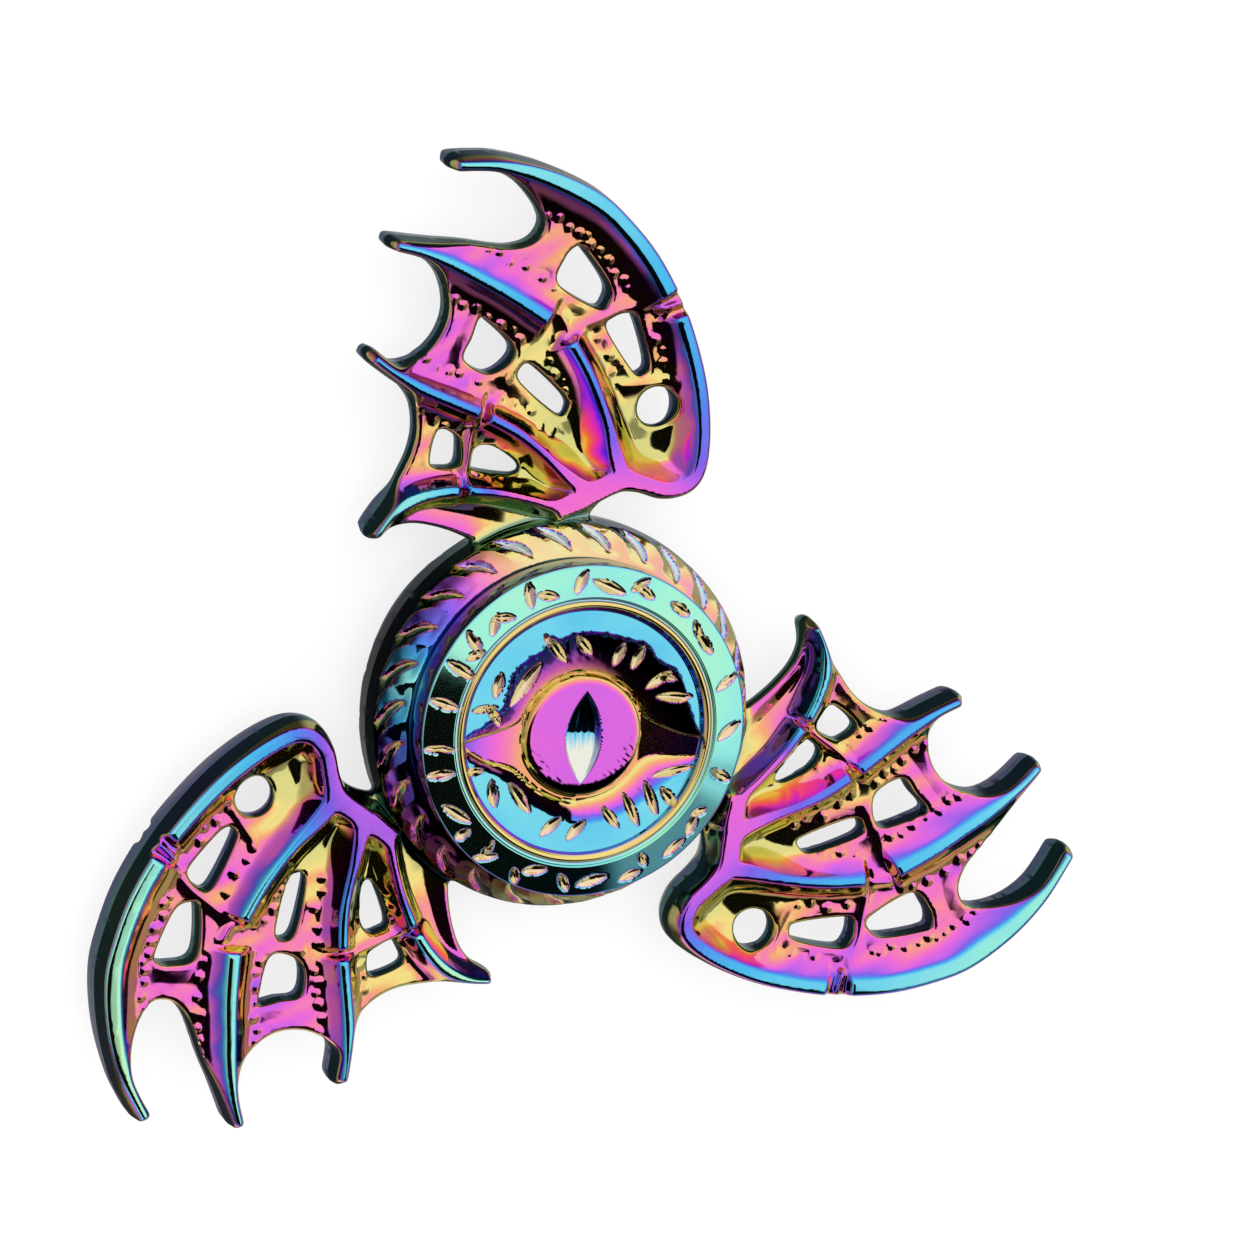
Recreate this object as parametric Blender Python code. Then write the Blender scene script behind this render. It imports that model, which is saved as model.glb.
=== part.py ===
"""Three-winged fidget spinner: a die-cast rotor on an R188 ball bearing between two finger caps.

Metres, +Z up. The origin is the centre of the bearing and +Z is the spin axis, towards the front cap.
The spinner lies flat on its rear cap, and its first wing points towards +Y.
All the driving dimensions below are in millimetres.
"""

import math

import bmesh
import bpy
from mathutils import Matrix, Vector

MM = 0.001
FACETS = 48  # around the ring
CAP_FACETS = 40
BEARING_FACETS = 32
SPLIT_ANGLE = math.radians(35)

# R188 bearing, 1/4 x 1/2 x 3/16 inch
BORE_R = 3.175
RACE_R = 6.35
RACE_HALF = 2.381
RACE_CHAMFER = 0.15
INNER_LAND_R = 3.95
OUTER_LAND_R = 5.55
PITCH_R = (BORE_R + RACE_R) / 2
BALLS = 10
BALL_R = 1.0
GROOVE_R = 1.04
SHIELD_SEAT_R = 5.9
SHIELD_SEAT_Z = 1.88
SHIELD_Z = (1.92, 2.08)
SHIELD_R = (4.1, 5.85)
CLIP_GROOVE_R = 6.05
CLIP_GROOVE_Z = (2.12, 2.30)
CLIP_Z = (2.14, 2.28)
CLIP_R = (5.6, 6.0)
CLIP_GAP = math.radians(24)
CAGE_R = (4.15, 5.35)
CAGE_Z = (-1.5, 0.5)
CAGE_POCKET_R = 1.1
POCKET_FACETS = 12

# Rotor ring, cast with the wings
RING_R = 12.0
RING_FACE_R = 10.4
RING_HALF = 3.1
SEAT_R = 6.4
LIP_R = 5.9
LIP_Z = 2.42

# Finger caps: a post and a stud join them through the bearing
CAP_R = 10.2
CAP_UNDER = 3.4
CAP_TOP = 6.0
CAP_FILLET = 0.5
BOSS_R = 3.9
BOSS_Z = 2.42
POST_R = 3.1
POST_END = -2.2
THREAD_HOLE_R = 1.85
THREAD_HOLE_END = 2.0
STUD_R = 1.75
STUD_END = 1.7
STUD_CHAMFER = 0.25
RIM_INNER_R = 8.45
BEAD_R = 7.85
BEAD_HALF = 0.2
BEAD_FOOT_Z = 5.7
FLOOR_R = 7.45
FLOOR_Z = 5.2
EYE_R = 3.9
EYE_TOP = 5.95
PUPIL_HALF_WIDTH = 1.1
PUPIL_HALF_HEIGHT = 2.75
PUPIL_Z = 5.35

# Wings: thin webs between raised ribs, seen on the first wing with the spin axis at (0, 0)
WINGS = 3
WEB_HALF = 0.9
RIB_CREST = 2.0
RIB_SHOULDER = 0.7  # below the crest
RIB_STEP_DOWN = 0.04  # each rib lies this much lower than the one before it
CREST_NARROWING = 0.45
# name: centreline points, then half-widths at the start, the middle and the end
RIBS = {
    "leading_tip": ([(-9.3, 33.65), (-6, 33.55), (-3, 32.85), (0, 31.5), (2, 29.85), (4, 27.6), (5.3, 25.4)],
                    (0.4, 0.9, 0.7)),
    "leading_root": ([(5.5, 24.9), (6.5, 22.5), (7.25, 20), (7.6, 17.3), (7.45, 15.2), (6.8, 14.2),
                      (5.5, 13.8), (4.2, 14.0), (2.4, 14.4)], (0.65, 0.75, 0.6)),
    "second_tip": ([(-12.9, 28.75), (-11, 28.3), (-9, 27.6), (-7, 26.65), (-5, 25.65), (-2.5, 24.1)],
                   (0.35, 0.6, 0.45)),
    "second_root": ([(-1.15, 22.95), (0.7, 19.9), (1.6, 17.8), (2.1, 16.2), (2.4, 14.6)],
                    (0.45, 0.55, 0.6)),
    "third_tip": ([(-13.75, 21.95), (-12.2, 20.95), (-10.5, 20.05), (-8.5, 19.25), (-6.5, 18.5)],
                  (0.35, 0.6, 0.45)),
    "third_root": ([(-5.75, 18.25), (-4.2, 17.4), (-2.8, 16.4), (-1.5, 15.3), (0.4, 13.6)],
                   (0.45, 0.55, 0.6)),
    "fourth_tip": ([(-12.8, 11.3), (-11.8, 12.5), (-10.4, 13.35), (-9, 13.75), (-7.6, 13.85)],
                   (0.35, 0.6, 0.45)),
    "fourth_root": ([(-7.0, 13.9), (-5, 13.7), (-3, 13.25), (-1.2, 12.6)], (0.45, 0.55, 0.6)),
}
ROOT_PAD = [(3.6, 14.1), (2.5, 15.3), (1.9, 14.3), (0.8, 13.8), (-0.7, 13.8), (-2.2, 13.1),
            (-4.9, 12.1), (-4.4, 10.3), (0.9, 11.1), (1.8, 12.8), (2.8, 13.6)]
WEB_OUTLINE = [(-6.4, 33.5), (-3, 32.8), (0, 31.5), (2, 29.85), (4, 27.6), (5.4, 25.1), (6.5, 22.5),
               (7.25, 20), (7.6, 17), (7.4, 15.2), (6.8, 14.2), (5.5, 13.75), (4.2, 13.9), (2.8, 13.5),
               (1.8, 12.7), (0.9, 11.1), (-4.4, 10.3), (-7, 10.95), (-8.4, 11.45), (-10, 11.7),
               (-11.4, 11.6), (-12.4, 11.4), (-11.6, 13.1), (-10.45, 15.8), (-10.2, 17.1),
               (-10.3, 18.3), (-10.8, 19.5), (-12, 20.9), (-10.7, 21.6), (-9.5, 22.6), (-8.8, 24.3),
               (-8.85, 25.4), (-9.4, 26.9), (-11, 28.2), (-9.7, 28.85), (-6.2, 28.55),
               (-3.9, 28.75), (-3.1, 30.1), (-3.7, 31.2), (-4.9, 32.4)]
WEB_HOLES = {
    "cell_1_outer": [(-1.1, 28.65), (1.3, 26.2), (1.25, 25.1), (0.6, 24.8), (-2.05, 26.4), (-1.75, 27.9)],
    "cell_1_middle": [(2.55, 24.6), (3.3, 24.1), (4.25, 21.5), (3.8, 20.8), (1.3, 23.6), (1.65, 24.3)],
    "cell_2_outer": [(-6.75, 24.25), (-4.45, 22.4), (-6.0, 20.8), (-7.6, 21.75), (-7.2, 23.1)],
    "cell_2_inner": [(-3.9, 21.25), (-3.2, 21.3), (-0.85, 19.3), (-0.75, 18.5), (-1.3, 18.3), (-4.0, 20.5)],
    "cell_3_outer": [(-8.85, 17.3), (-7.5, 16.9), (-7.35, 15.1), (-9.2, 15.3)],
    "cell_3_inner": [(-6.3, 16.3), (-5.2, 16.3), (-3.5, 15.2), (-3.8, 14.6), (-6.4, 14.95)],
}
ROUND_HOLE = (4.9, 18.9, 1.28)
ROUND_HOLE_FACETS = 12


def material(name, colour, roughness, metallic=1.0):
    made = bpy.data.materials.new(name)
    made.use_nodes = True
    shader = made.node_tree.nodes["Principled BSDF"]
    shader.inputs["Base Color"].default_value = (*colour, 1.0)
    shader.inputs["Roughness"].default_value = roughness
    shader.inputs["Metallic"].default_value = metallic
    return made


def add_object(name, mesh, finish=None):
    made = bpy.data.objects.new(name, mesh)
    bpy.context.scene.collection.objects.link(made)
    if finish:
        mesh.materials.append(finish)
    return made


def as_helper(obj):
    obj.hide_render = True
    obj.display_type = "WIRE"
    return obj


def mesh_from(name, points, faces):
    """A mesh from points in millimetres, with its faces turned outwards."""
    mesh = bpy.data.meshes.new(name)
    mesh.from_pydata([Vector(point) * MM for point in points], [], faces)
    shell = bmesh.new()
    shell.from_mesh(mesh)
    bmesh.ops.recalc_face_normals(shell, faces=shell.faces)
    shell.to_mesh(mesh)
    shell.free()
    return mesh


def smooth_shading(obj):
    obj.data.shade_smooth()
    obj.data.set_sharp_from_angle(angle=SPLIT_ANGLE)


def turned(name, profile, facets, closed=False, sweep=math.tau):
    """Turns (radius, z) points about the Z axis.

    A closed profile makes a ring. An open one starts and ends on the axis. A sweep under a full turn
    leaves a gap with flat ends.
    """
    full = sweep == math.tau
    columns = facets if full else facets + 1
    points = []
    rows = []
    for radius, z in profile:
        count = 1 if radius == 0 else columns
        rows.append(range(len(points), len(points) + count))
        for i in range(count):
            angle = sweep * i / facets
            points.append((radius * math.cos(angle), radius * math.sin(angle), z))
    pairs = list(zip(rows, rows[1:]))
    if closed:
        pairs.append((rows[-1], rows[0]))
    faces = []
    for low, high in pairs:
        for i in range(facets):
            j = (i + 1) % columns
            quad = [low[i % len(low)], low[j % len(low)], high[j % len(high)], high[i % len(high)]]
            faces.append(list(dict.fromkeys(quad)))
    if not full:
        faces.append([row[0] for row in rows])
        faces.append([row[-1] for row in rows])
    return mesh_from(name, points, faces)


def spline(points, steps, closed=False):
    """Catmull-Rom points through the given ones, with this many steps between two of them."""
    count = len(points)
    spans = count if closed else count - 1
    result = []
    for i in range(spans):
        ids = [i - 1, i, i + 1, i + 2]
        if closed:
            a, b, c, d = (Vector(points[k % count]) for k in ids)
        else:
            a, b, c, d = (Vector(points[min(max(k, 0), count - 1)]) for k in ids)
        for step in range(steps):
            t = step / steps
            result.append(0.5 * (2 * b + (c - a) * t + (2 * a - 5 * b + 4 * c - d) * t * t
                                 + (3 * b - a - 3 * c + d) * t ** 3))
    if not closed:
        result.append(Vector(points[-1]))
    return result


def prism(name, outline, low, high):
    """A flat outline extruded from z low to z high."""
    count = len(outline)
    points = [(x, y, z) for z in (low, high) for x, y in outline]
    faces = [list(range(count)), list(range(count, 2 * count))]
    for i in range(count):
        j = (i + 1) % count
        faces.append([i, j, count + j, count + i])
    return mesh_from(name, points, faces)


def rib_mesh(name, points, widths, crest):
    """A raised rib on both faces of the wing: full width at its shoulders, narrower at its crests."""
    line = spline(points, 1)
    last = len(line) - 1
    start, middle, end = widths
    levels = [(-crest, CREST_NARROWING), (-crest + RIB_SHOULDER, 1.0),
              (crest - RIB_SHOULDER, 1.0), (crest, CREST_NARROWING)]
    rings = []
    vertices = []
    for i, centre in enumerate(line):
        along = (line[min(i + 1, last)] - line[max(i - 1, 0)]).normalized()
        across = Vector((-along.y, along.x))
        share = i / last
        half = start + (middle - start) * min(1, 2 * share)
        if share > 0.5:
            half = middle + (end - middle) * (2 * share - 1)
        ring = []
        for side in (1, -1):
            for z, factor in levels[::side]:
                place = centre + across * (side * half * factor)
                ring.append(len(vertices))
                vertices.append((place.x, place.y, z))
        rings.append(ring)
    faces = [rings[0], rings[-1]]
    size = len(rings[0])
    for near, far in zip(rings, rings[1:]):
        for k in range(size):
            n = (k + 1) % size
            faces.append([near[k], near[n], far[n], far[k]])
    return mesh_from(name, vertices, faces)


def boolean(base, tools, operation):
    """Applies one Boolean after another to the base, and removes the tools."""
    for tool in tools:
        step = base.modifiers.new(tool.name, "BOOLEAN")
        step.operation = operation
        step.solver = "EXACT"
        step.object = tool
    graph = bpy.context.evaluated_depsgraph_get()
    result = bpy.data.meshes.new_from_object(base.evaluated_get(graph))
    base.modifiers.clear()
    base.data = result
    for tool in tools:
        bpy.data.objects.remove(tool)
    return base


def circle(x, y, radius, facets):
    return [(x + radius * math.cos(math.tau * i / facets), y + radius * math.sin(math.tau * i / facets))
            for i in range(facets)]


def wing():
    """One wing: a web with holes, its eight ribs and the pad that joins them to the ring."""
    web = add_object("web", prism("web", spline(WEB_OUTLINE, 1, closed=True), -WEB_HALF, WEB_HALF))
    cuts = [circle(*ROUND_HOLE, ROUND_HOLE_FACETS)]
    cuts += [spline(points, 2, closed=True) for points in WEB_HOLES.values()]
    reach = 2 * WEB_HALF
    cutters = [as_helper(add_object(f"hole_{i}", prism("hole", cut, -reach, reach)))
               for i, cut in enumerate(cuts)]
    boolean(web, cutters, "DIFFERENCE")
    ribs = []
    for i, (name, (points, widths)) in enumerate(RIBS.items()):
        crest = RIB_CREST - RIB_STEP_DOWN * i
        ribs.append(as_helper(add_object(name, rib_mesh(name, points, widths, crest))))
    pad_half = RIB_CREST - RIB_STEP_DOWN * len(RIBS)
    ribs.append(as_helper(add_object("pad", prism("pad", ROOT_PAD, -pad_half, pad_half))))
    return boolean(web, ribs, "UNION")


def wing_frame(finish):
    """The cast rotor: the bearing's ring and three wings, one body."""
    side = [(RING_FACE_R, RING_HALF), (11.3, 2.6), (11.85, 1.4)]
    outer = side[::-1] + [(LIP_R, RING_HALF), (LIP_R, LIP_Z), (SEAT_R, LIP_Z), (SEAT_R, -RING_HALF)]
    outer += [(radius, -z) for radius, z in side] + [(RING_R, 0)]
    ring = add_object("wing_frame", turned("wing_frame", outer, FACETS, closed=True), finish)
    first = wing()
    wings = []
    for i in range(WINGS):
        mesh = first.data.copy()
        mesh.transform(Matrix.Rotation(math.tau * i / WINGS, 4, "Z"))
        wings.append(as_helper(add_object(f"wing_{i}", mesh)))
    bpy.data.objects.remove(first)
    return boolean(ring, wings, "UNION")


def cap_face():
    """The finger cap's outside from its underside over the rim to the middle of the eye."""
    fillet_side = CAP_FILLET * (1 - math.cos(math.radians(45)))
    return [
        (CAP_R - 0.3, CAP_UNDER), (CAP_R, CAP_UNDER + 0.3), (CAP_R, CAP_TOP - CAP_FILLET),
        (CAP_R - fillet_side, CAP_TOP - fillet_side), (CAP_R - CAP_FILLET, CAP_TOP),
        (RIM_INNER_R, CAP_TOP), (BEAD_R + BEAD_HALF, BEAD_FOOT_Z), (BEAD_R, CAP_TOP - 0.05),
        (FLOOR_R, FLOOR_Z), (EYE_R, FLOOR_Z), (EYE_R - 0.3, FLOOR_Z + 0.4),
        (EYE_R * 0.6, EYE_TOP - 0.12), (0, EYE_TOP),
    ]


def pupil_outline():
    """A pointed lens: two arcs that meet above and below the middle of the eye."""
    radius = (PUPIL_HALF_WIDTH ** 2 + PUPIL_HALF_HEIGHT ** 2) / (2 * PUPIL_HALF_WIDTH)
    reach = math.asin(PUPIL_HALF_HEIGHT / radius)
    steps = 6
    outline = []
    for side in (1, -1):
        for i in range(steps):
            angle = reach * (2 * i / steps - 1)
            x = radius * math.cos(angle) - (radius - PUPIL_HALF_WIDTH)
            outline.append((side * x, side * radius * math.sin(angle)))
    return outline


def cap(name, core, finish):
    """A finger cap with its slit pupil cut in. The rear one is the front one turned about Y."""
    body = add_object(name, turned(name, core + cap_face(), CAP_FACETS), finish)
    cutter = prism("pupil", pupil_outline(), PUPIL_Z, CAP_TOP + 1)
    return boolean(body, [as_helper(add_object("pupil", cutter))], "DIFFERENCE")


def caps(finish):
    boss = [(BOSS_R, BOSS_Z), (BOSS_R, CAP_UNDER)]
    socket = [(0, THREAD_HOLE_END), (THREAD_HOLE_R, THREAD_HOLE_END), (THREAD_HOLE_R, POST_END),
              (POST_R, POST_END), (POST_R, BOSS_Z)]
    front = cap("cap_front", socket + boss, finish)
    stud = [(0, -STUD_END), (STUD_R - STUD_CHAMFER, -STUD_END), (STUD_R, -STUD_END + STUD_CHAMFER),
            (STUD_R, BOSS_Z)]
    rear = cap("cap_rear", stud + boss, finish)
    rear.data.transform(Matrix.Rotation(math.pi, 4, "Y"))
    return front, rear


def groove(land_r, side):
    """The ball groove's arc between its two lands, for the outer (side 1) or inner (side -1) race."""
    reach = math.acos(abs(land_r - PITCH_R) / GROOVE_R)
    steps = 4
    angles = [reach * (2 * i / steps - 1) for i in range(steps + 1)]
    return [(PITCH_R + side * GROOVE_R * math.cos(a), GROOVE_R * math.sin(a)) for a in angles]


def both_ways(half_profile):
    """A half profile mirrored to -z and joined to itself."""
    return [(radius, -z) for radius, z in half_profile[::-1]], half_profile


def races(steel):
    seat = [(OUTER_LAND_R, SHIELD_SEAT_Z), (SHIELD_SEAT_R, SHIELD_SEAT_Z),
            (SHIELD_SEAT_R, CLIP_GROOVE_Z[0]), (CLIP_GROOVE_R, CLIP_GROOVE_Z[0]),
            (CLIP_GROOVE_R, CLIP_GROOVE_Z[1]), (SHIELD_SEAT_R, CLIP_GROOVE_Z[1]),
            (SHIELD_SEAT_R, RACE_HALF), (RACE_R - RACE_CHAMFER, RACE_HALF),
            (RACE_R, RACE_HALF - RACE_CHAMFER)]
    low, high = both_ways(seat)
    profile = low + groove(OUTER_LAND_R, 1) + high
    outer = add_object("bearing_outer_race",
                       turned("outer_race", profile, BEARING_FACETS, closed=True), steel)
    edge = [(INNER_LAND_R, RACE_HALF), (BORE_R + RACE_CHAMFER, RACE_HALF), (BORE_R, RACE_HALF - RACE_CHAMFER)]
    low, high = both_ways(edge)
    profile = low + groove(INNER_LAND_R, -1) + high
    inner = add_object("bearing_inner_race",
                       turned("inner_race", profile, BEARING_FACETS, closed=True), steel)
    return outer, inner


def ball_places():
    angles = [math.tau * i / BALLS for i in range(BALLS)]
    return [Vector((PITCH_R * math.cos(a), PITCH_R * math.sin(a), 0)) for a in angles]


def balls(steel):
    """Each ball's object sits on its own centre, which is on its joint's axis."""
    shell = bmesh.new()
    bmesh.ops.create_icosphere(shell, subdivisions=2, radius=BALL_R * MM)
    mesh = bpy.data.meshes.new("ball")
    shell.to_mesh(mesh)
    shell.free()
    mesh.materials.append(steel)
    made = []
    for i, place in enumerate(ball_places()):
        ball = add_object(f"bearing_ball_{i + 1:02d}", mesh)
        ball.location = place * MM
        made.append(ball)
    return made


def box_profile(radii, heights):
    (inner, outer), (low, high) = radii, heights
    return [(inner, low), (outer, low), (outer, high), (inner, high)]


def ball_cage(finish):
    """A crown cage: a ring under the balls with fingers between its round, open-topped pockets."""
    ring = turned("ball_cage", box_profile(CAGE_R, CAGE_Z), 2 * BALLS, closed=True)
    ring.transform(Matrix.Rotation(math.pi / (2 * BALLS), 4, "Z"))
    cage = add_object("ball_cage", ring, finish)
    inner, outer = CAGE_R
    pocket = [(0, inner - 0.3), (CAGE_POCKET_R, inner - 0.3), (CAGE_POCKET_R, outer + 0.3), (0, outer + 0.3)]
    pockets = []
    for i in range(BALLS):
        mesh = turned("pocket", pocket, POCKET_FACETS)
        half_facet = Matrix.Rotation(math.pi / POCKET_FACETS, 4, "Z")
        lay_down = Matrix.Rotation(math.pi / 2, 4, "Y")
        mesh.transform(Matrix.Rotation(math.tau * i / BALLS, 4, "Z") @ lay_down @ half_facet)
        pockets.append(as_helper(add_object(f"pocket_{i}", mesh)))
    return boolean(cage, pockets, "DIFFERENCE")


def shields(steel):
    """On each side a flat dust shield, held in the outer race by an open snap ring."""
    made = []
    for name, side in (("front", 1), ("rear", -1)):
        turn = Matrix.Rotation(0 if side == 1 else math.pi, 4, "Y")
        shield = turned("shield", box_profile(SHIELD_R, SHIELD_Z), BEARING_FACETS, closed=True)
        clip = turned("clip", box_profile(CLIP_R, CLIP_Z), BEARING_FACETS, closed=True,
                      sweep=math.tau - CLIP_GAP)
        for mesh, node in ((shield, f"shield_{name}"), (clip, f"shield_clip_{name}")):
            mesh.transform(turn)
            made.append(add_object(node, mesh, steel))
    return made


def main():
    for obj in list(bpy.data.objects):
        bpy.data.objects.remove(obj)
    iridescent = material("iridescent_zinc", (0.62, 0.30, 0.72), 0.12)
    steel = material("bearing_steel", (0.62, 0.63, 0.65), 0.2)
    cage_steel = material("cage_steel", (0.45, 0.45, 0.47), 0.35)
    made = [wing_frame(iridescent), *caps(iridescent), *races(steel), *balls(steel)]
    made += [ball_cage(cage_steel), *shields(steel)]
    for obj in made:
        smooth_shading(obj)


main()
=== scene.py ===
"""Looks of the fidget spinner: sculpted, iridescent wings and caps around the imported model.

Lengths in this script are millimetres until a mesh is made; the frame itself is in metres.
The first wing is shaped once, on a flat grid, and the rotor repeats it three times.
"""

import math

import bpy
import numpy as np
import openvdb
from mathutils import Matrix, Vector


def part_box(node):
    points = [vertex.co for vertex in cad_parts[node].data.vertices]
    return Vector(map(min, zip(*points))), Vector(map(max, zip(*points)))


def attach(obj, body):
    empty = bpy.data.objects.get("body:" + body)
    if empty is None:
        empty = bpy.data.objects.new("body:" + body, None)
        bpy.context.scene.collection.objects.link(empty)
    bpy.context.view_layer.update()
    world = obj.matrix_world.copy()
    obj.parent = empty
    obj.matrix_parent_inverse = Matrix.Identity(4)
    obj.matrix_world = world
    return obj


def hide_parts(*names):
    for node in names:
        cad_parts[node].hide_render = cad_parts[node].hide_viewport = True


MM = 0.001
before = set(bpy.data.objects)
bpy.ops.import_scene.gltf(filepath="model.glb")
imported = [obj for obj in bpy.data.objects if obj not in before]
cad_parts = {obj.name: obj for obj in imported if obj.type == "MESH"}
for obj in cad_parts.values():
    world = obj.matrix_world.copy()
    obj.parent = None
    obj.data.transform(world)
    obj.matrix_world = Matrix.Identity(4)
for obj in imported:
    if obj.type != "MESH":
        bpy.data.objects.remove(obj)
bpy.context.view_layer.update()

# ---------------------------------------------------------------- sizes taken from the frame
cap_low, cap_high = (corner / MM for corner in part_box("cap_front"))
wing_low, wing_high = (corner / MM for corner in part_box("wing_frame"))
CAP_R = cap_high.x
CAP_TOP = cap_high.z
POST_END = cap_low.z
RING_HALF = wing_high.z
WINGS = 3

# ---------------------------------------------------------------- the ring that holds the bearing
RING_R = 11.95
RING_BORE = 6.45
RING_EDGE = 1.9  # radius of its rounded outer edges
FLUTES = 27
FLUTE_WIDE = 0.62  # width of a flute's gentle side, and of its steep side
FLUTE_STEEP = 0.3
FLUTE_DEPTH = 0.24
FLUTE_BEND = 2.1  # how far a flute leans round the ring at its outer end
FLUTE_CROWN = 0.2
DRAFT = 0.06  # slope of every cast wall, away from the parting line at mid-height

# ---------------------------------------------------------------- the first wing
GRID = 0.06
WING_BOX = (-15.0, 9.5, 9.0, 35.4)
WING_OUTLINE = [
    (-9.5, 33.5), (-9.4, 33.9), (-8.9, 34.12), (-7.5, 34.2), (-6, 34.12), (-3, 33.42), (0, 32.12),
    (2, 30.5), (4, 28.3), (5.8, 25.4), (7, 22.6), (7.8, 20), (8.2, 17.4), (8.2, 15.4), (7.9, 14.3),
    (7.2, 13.5), (6.2, 13.2), (5.2, 13.25), (4.4, 13.5), (3.6, 13.7), (2.7, 13.5), (1.8, 12.9),
    (1.1, 12.0), (0.8, 10.4), (-4.4, 9.7), (-5.6, 10.3), (-7, 10.95), (-8.4, 11.4), (-10, 11.65),
    (-11.3, 11.4), (-12.3, 10.75), (-12.8, 10.7), (-12.9, 11.1), (-12.4, 11.9), (-11.6, 13.1),
    (-11, 14.5), (-10.45, 15.8), (-10.2, 17.1), (-10.3, 18.3), (-10.6, 19.2), (-11.2, 19.9),
    (-12.2, 20.55), (-13.5, 21.45), (-13.85, 21.85), (-13.75, 22.25), (-13.3, 22.3), (-12.4, 21.65),
    (-11.7, 21.3), (-10.7, 21.6), (-9.8, 22.3), (-9.15, 23.2), (-8.8, 24.3), (-8.85, 25.4),
    (-9.3, 26.7), (-10.2, 27.6), (-11.3, 28.05), (-12.6, 28.35), (-12.95, 28.7), (-12.65, 29.08),
    (-11, 28.95), (-9.7, 28.85), (-8, 28.78), (-6.2, 28.55), (-5.0, 28.48), (-3.9, 28.75),
    (-3.3, 29.3), (-3.1, 30.1), (-3.7, 31.2), (-4.9, 32.4), (-6.4, 33.15), (-8, 33.25), (-9.1, 33.2),
]
HOLES = [
    [(-1.1, 28.6), (-0.5, 28.5), (1.25, 26.3), (1.25, 25.2), (0.6, 24.85), (-2.0, 26.35), (-1.7, 27.9)],
    [(2.55, 24.6), (3.25, 24.2), (4.2, 21.5), (3.85, 20.8), (3.2, 21.0), (1.3, 23.6), (1.65, 24.3)],
    [(-6.8, 24.25), (-6.2, 24.0), (-4.5, 22.5), (-4.7, 21.5), (-6.0, 20.8), (-7.6, 21.7), (-7.2, 23.0)],
    [(-3.95, 21.2), (-3.2, 21.35), (-0.9, 19.4), (-0.7, 18.55), (-1.3, 18.25), (-3.9, 20.3)],
    [(-8.85, 17.35), (-7.6, 17.0), (-7.35, 16.3), (-7.4, 15.2), (-8.3, 15.0), (-9.2, 15.3)],
    [(-6.35, 16.3), (-5.2, 16.35), (-3.5, 15.25), (-3.8, 14.6), (-6.35, 14.9), (-6.6, 15.5)],
]
ROUND_HOLE = (4.95, 18.8, 1.27)
HALF_THICK = 2.0
# centreline; half-width of its flat top at start, middle, end; slope widths on its left and right
RIBS = [
    ([(-9.1, 33.68), (-6, 33.6), (-3, 32.9), (0, 31.55), (2, 29.9), (3.8, 27.85), (5.0, 26.0)],
     (0.16, 0.52, 0.55), 0.6, 1.85),
    ([(5.8, 24.6), (6.6, 22.5), (7.3, 20), (7.65, 17.3), (7.5, 15.2), (6.8, 14.2), (5.5, 13.9),
      (4.2, 14.2), (3.0, 14.5)], (0.42, 0.4, 0.45), 0.6, 1.5),
    ([(-12.6, 28.72), (-11, 28.35), (-9, 27.65), (-7, 26.7), (-5, 25.7), (-2.7, 24.35)],
     (0.08, 0.27, 0.33), 1.5, 1.55),
    ([(-1.15, 22.9), (-0.1, 21.3), (0.75, 19.7), (1.5, 17.9), (2.0, 16.3), (2.6, 14.8)],
     (0.24, 0.24, 0.5), 1.3, 1.35),
    ([(-13.45, 21.85), (-12.2, 21.0), (-10.5, 20.1), (-8.5, 19.3), (-6.65, 18.6)],
     (0.08, 0.25, 0.26), 1.3, 1.15),
    ([(-6.0, 18.3), (-4.2, 17.4), (-2.8, 16.4), (-1.5, 15.3), (-0.2, 14.3), (0.6, 13.9)],
     (0.24, 0.22, 0.45), 1.2, 1.1),
    ([(-12.6, 11.1), (-11.8, 12.3), (-10.5, 13.25), (-9, 13.7), (-7.6, 13.85)],
     (0.1, 0.28, 0.25), 0.9, 0.9),
    ([(-7.0, 13.88), (-5, 13.7), (-3, 13.3), (-1.2, 12.9), (0.5, 13.3)],
     (0.24, 0.22, 0.4), 0.75, 0.8),
    ([(5.2, 14.0), (4.0, 14.3), (3.0, 14.5), (2.0, 14.3), (1.0, 13.8), (0, 13.3), (-1.5, 12.6)],
     (0.3, 0.65, 0.6), 0.5, 0.6),
]
# low bars that cross the cells between the holes: centreline, half-width of the top, slope width, height
BARS = [
    ([(6.6, 25.95), (5.4, 25.3), (4.5, 24.9)], 0.45, 0.35, 1.4),
    ([(6.6, 25.95), (5.4, 25.3), (4.3, 25.0)], 0.06, 0.3, 1.72),
    ([(4.3, 25.05), (2.4, 24.95), (0.5, 24.2), (-1.0, 23.6)], 0.08, 0.6, 1.13),
    ([(5.9, 20.35), (4.4, 20.3), (2.6, 20.1)], 0.05, 0.5, 0.93),
    ([(-3.0, 23.6), (-4.2, 22.1), (-5.0, 20.4)], 0.08, 0.6, 1.0),
    ([(-6.3, 18.6), (-6.85, 17.4), (-7.05, 15.6), (-7.25, 13.9)], 0.1, 0.5, 1.15),
    ([(-1.9, 24.6), (-1.3, 23.6), (-1.6, 22.9)], 0.1, 0.5, 1.25),
]
END_SLOPE = 0.4
WEB_OUTER = 1.02
WEB_INNER = 0.62
# spoon-shaped hollows beside the hub: middle, length direction in degrees, half-length, half-width, depth
SPOONS = [((4.9, 16.7), 80, 2.6, 1.7, 0.34), ((0.1, 16.4), 118, 2.8, 1.2, 0.34),
          ((-2.6, 14.7), 150, 2.4, 0.8, 0.3), ((-8.0, 12.3), 170, 2.6, 0.6, 0.25)]
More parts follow.
